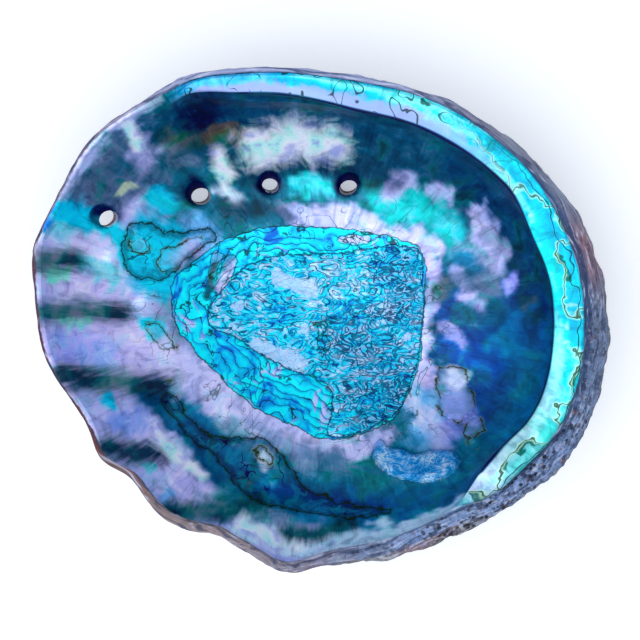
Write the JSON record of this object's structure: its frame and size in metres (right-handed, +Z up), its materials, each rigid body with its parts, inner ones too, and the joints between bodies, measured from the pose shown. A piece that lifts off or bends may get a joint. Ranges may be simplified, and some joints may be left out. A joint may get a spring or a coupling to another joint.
{
  "type": "abalone shell",
  "caption": "Ear-shaped sea shell on its back: a pearly bowl with a row of breathing holes, a folded thin lip, a flat inner ledge and a low spire.",
  "frame": {"origin": "on the surface the shell rests on, under the middle of its bounding box", "axes": "+Z up, out of the open bowl; +X along the length towards the spire end; +Y towards the side with the row of breathing holes"},
  "size_m": [0.1882, 0.1651, 0.053],
  "materials": {
    "nacre": "pearly blue-green nacre inside, rough brick-grey crust outside"
  },
  "bodies": {
    "root": {"shell": "nacre"}
  },
  "joints": []
}
